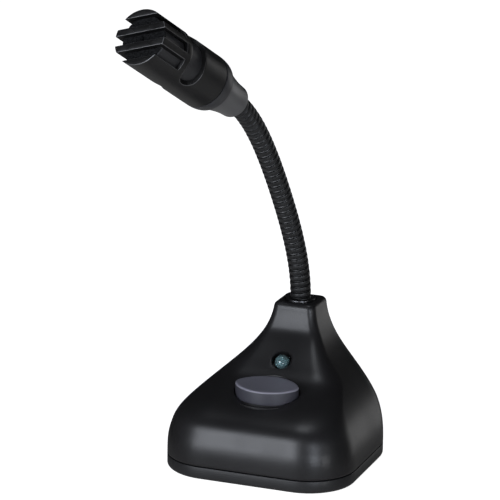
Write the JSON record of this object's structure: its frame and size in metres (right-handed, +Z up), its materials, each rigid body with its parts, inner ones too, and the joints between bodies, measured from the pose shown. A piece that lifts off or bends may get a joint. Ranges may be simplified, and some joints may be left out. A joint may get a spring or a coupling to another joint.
{
  "type": "gooseneck desk microphone",
  "caption": "Desk microphone: bell-shaped base with an oval talk button and a lamp, wire-wound gooseneck, slotted cylinder head.",
  "frame": {"origin": "middle of the rubber pad's underside, on the desk, under the middle of the footprint", "axes": "+Z up from the desk, -Y towards the talker, the side with the button and the lamp, +X to the right of a talker who faces the base"},
  "size_m": [0.0646, 0.0951, 0.1594],
  "materials": {
    "shell_plastic": "satin moulded",
    "tray_plastic": "satin moulded",
    "pad_rubber": "matt",
    "button_plastic": "fine matt",
    "zinc_steel": "zinc plated",
    "spring_steel": "bright wire",
    "board_green": "solder mask",
    "black_plastic": "moulded",
    "plunger_plastic": "moulded",
    "lamp_clear": "clear tinted",
    "contact_metal": "plated",
    "wire_black": "matt",
    "wire_red": "matt",
    "neck_black": "black oxide, semi-gloss",
    "washer_metal": "dark plated",
    "nut_metal": "zinc plated",
    "head_black": "black satin anodised",
    "ferrule_grey": "dark grey satin",
    "screen_black": "woven mesh",
    "sleeve_grey": "smooth",
    "capsule_alu": "bright"
  },
  "bodies": {
    "base": {"foot_pad": "pad_rubber", "bottom_tray": "tray_plastic", "bottom_screws": "zinc_steel", "ballast_weight": "zinc_steel", "base_shell": "shell_plastic", "button_spring": "spring_steel", "switch_body": "black_plastic", "circuit_board": "board_green", "board_screws": "zinc_steel", "board_parts": "black_plastic", "led_lamp": "lamp_clear", "led_holder": "black_plastic", "led_leads": "contact_metal", "jack_socket": "black_plastic", "jack_spring": "contact_metal", "tower_lead": "wire_black", "neck_stud": "neck_black", "neck_collar": "washer_metal", "neck_nut": "nut_metal", "neck_lead_0": "wire_black"},
    "button": {"talk_button": "button_plastic", "switch_plunger": "plunger_plastic"},
    "neck_piece_1": {"neck_coil_1": "neck_black", "neck_lead_1": "wire_black"},
    "neck_piece_2": {"neck_coil_2": "neck_black", "neck_lead_2": "wire_black"},
    "neck_piece_3": {"neck_coil_3": "neck_black", "neck_lead_3": "wire_black"},
    "neck_piece_4": {"neck_coil_4": "neck_black", "neck_lead_4": "wire_black"},
    "neck_piece_5": {"neck_coil_5": "neck_black", "neck_lead_5": "wire_black"},
    "neck_piece_6": {"neck_coil_6": "neck_black", "neck_lead_6": "wire_black"},
    "neck_piece_7": {"neck_coil_7": "neck_black", "neck_lead_7": "wire_black"},
    "neck_piece_8": {"neck_coil_8": "neck_black", "neck_lead_8": "wire_black"},
    "neck_piece_9": {"neck_coil_9": "neck_black", "neck_lead_9": "wire_black"},
    "head": {"neck_coil_10": "neck_black", "neck_lead_10": "wire_black", "head_ferrule": "ferrule_grey", "head_ring": "head_black", "head_barrel": "head_black", "face_screen": "screen_black", "capsule_sleeve": "sleeve_grey", "capsule_boot": "pad_rubber", "mic_capsule": "capsule_alu", "capsule_leads": "wire_red"}
  },
  "joints": [
    {"name": "button_press", "type": "slide", "parent": "base", "child": "button", "axis": [0, 0, -1], "range_m": [0, 0.0012], "stiffness_N_per_m": 800, "springref_m": -0.001, "deforming": ["button_spring"]},
    {"name": "neck_bend_1", "type": "hinge", "parent": "base", "child": "neck_piece_1", "pos_m": [0, 0.0216, 0.05432], "axis": [0.9613, -0.2756, 0], "range_deg": [-12, 8]},
    {"name": "neck_sway_1", "type": "hinge", "parent": "neck_piece_1", "child": "neck_piece_2", "pos_m": [-0.00045, 0.02003, 0.0628], "axis": [0.2669, 0.9309, 0.2493], "range_deg": [-8, 8]},
    {"name": "neck_bend_2", "type": "hinge", "parent": "neck_piece_2", "child": "neck_piece_3", "pos_m": [-0.00119, 0.01747, 0.07102], "axis": [0.9613, -0.2756, 0], "range_deg": [-12, 8]},
    {"name": "neck_sway_2", "type": "hinge", "parent": "neck_piece_3", "child": "neck_piece_4", "pos_m": [-0.00209, 0.01431, 0.07901], "axis": [0.2525, 0.8806, 0.4011], "range_deg": [-8, 8]},
    {"name": "neck_bend_3", "type": "hinge", "parent": "neck_piece_4", "child": "neck_piece_5", "pos_m": [-0.00309, 0.01081, 0.08685], "axis": [0.9613, -0.2756, 0], "range_deg": [-12, 8]},
    {"name": "neck_sway_3", "type": "hinge", "parent": "neck_piece_5", "child": "neck_piece_6", "pos_m": [-0.00417, 0.00707, 0.09456], "axis": [0.2438, 0.8502, 0.4665], "range_deg": [-8, 8]},
    {"name": "neck_bend_4", "type": "hinge", "parent": "neck_piece_6", "child": "neck_piece_7", "pos_m": [-0.00532, 0.00306, 0.10213], "axis": [0.9613, -0.2756, 0], "range_deg": [-12, 8]},
    {"name": "neck_sway_4", "type": "hinge", "parent": "neck_piece_7", "child": "neck_piece_8", "pos_m": [-0.00658, -0.00136, 0.10944], "axis": [0.226, 0.7881, 0.5725], "range_deg": [-8, 8]},
    {"name": "neck_bend_5", "type": "hinge", "parent": "neck_piece_8", "child": "neck_piece_9", "pos_m": [-0.00804, -0.00644, 0.11628], "axis": [0.9613, -0.2756, 0], "range_deg": [-12, 8]},
    {"name": "neck_sway_5", "type": "hinge", "parent": "neck_piece_9", "child": "head", "pos_m": [-0.00977, -0.01246, 0.12223], "axis": [0.1659, 0.5786, 0.7985], "range_deg": [-8, 8]}
  ],
  "couplings": [
    {"joint": "neck_bend_2", "follows": "neck_bend_1", "ratio": 1},
    {"joint": "neck_sway_2", "follows": "neck_sway_1", "ratio": 1},
    {"joint": "neck_bend_3", "follows": "neck_bend_1", "ratio": 1},
    {"joint": "neck_sway_3", "follows": "neck_sway_1", "ratio": 1},
    {"joint": "neck_bend_4", "follows": "neck_bend_1", "ratio": 1},
    {"joint": "neck_sway_4", "follows": "neck_sway_1", "ratio": 1},
    {"joint": "neck_bend_5", "follows": "neck_bend_1", "ratio": 1},
    {"joint": "neck_sway_5", "follows": "neck_sway_1", "ratio": 1}
  ]
}
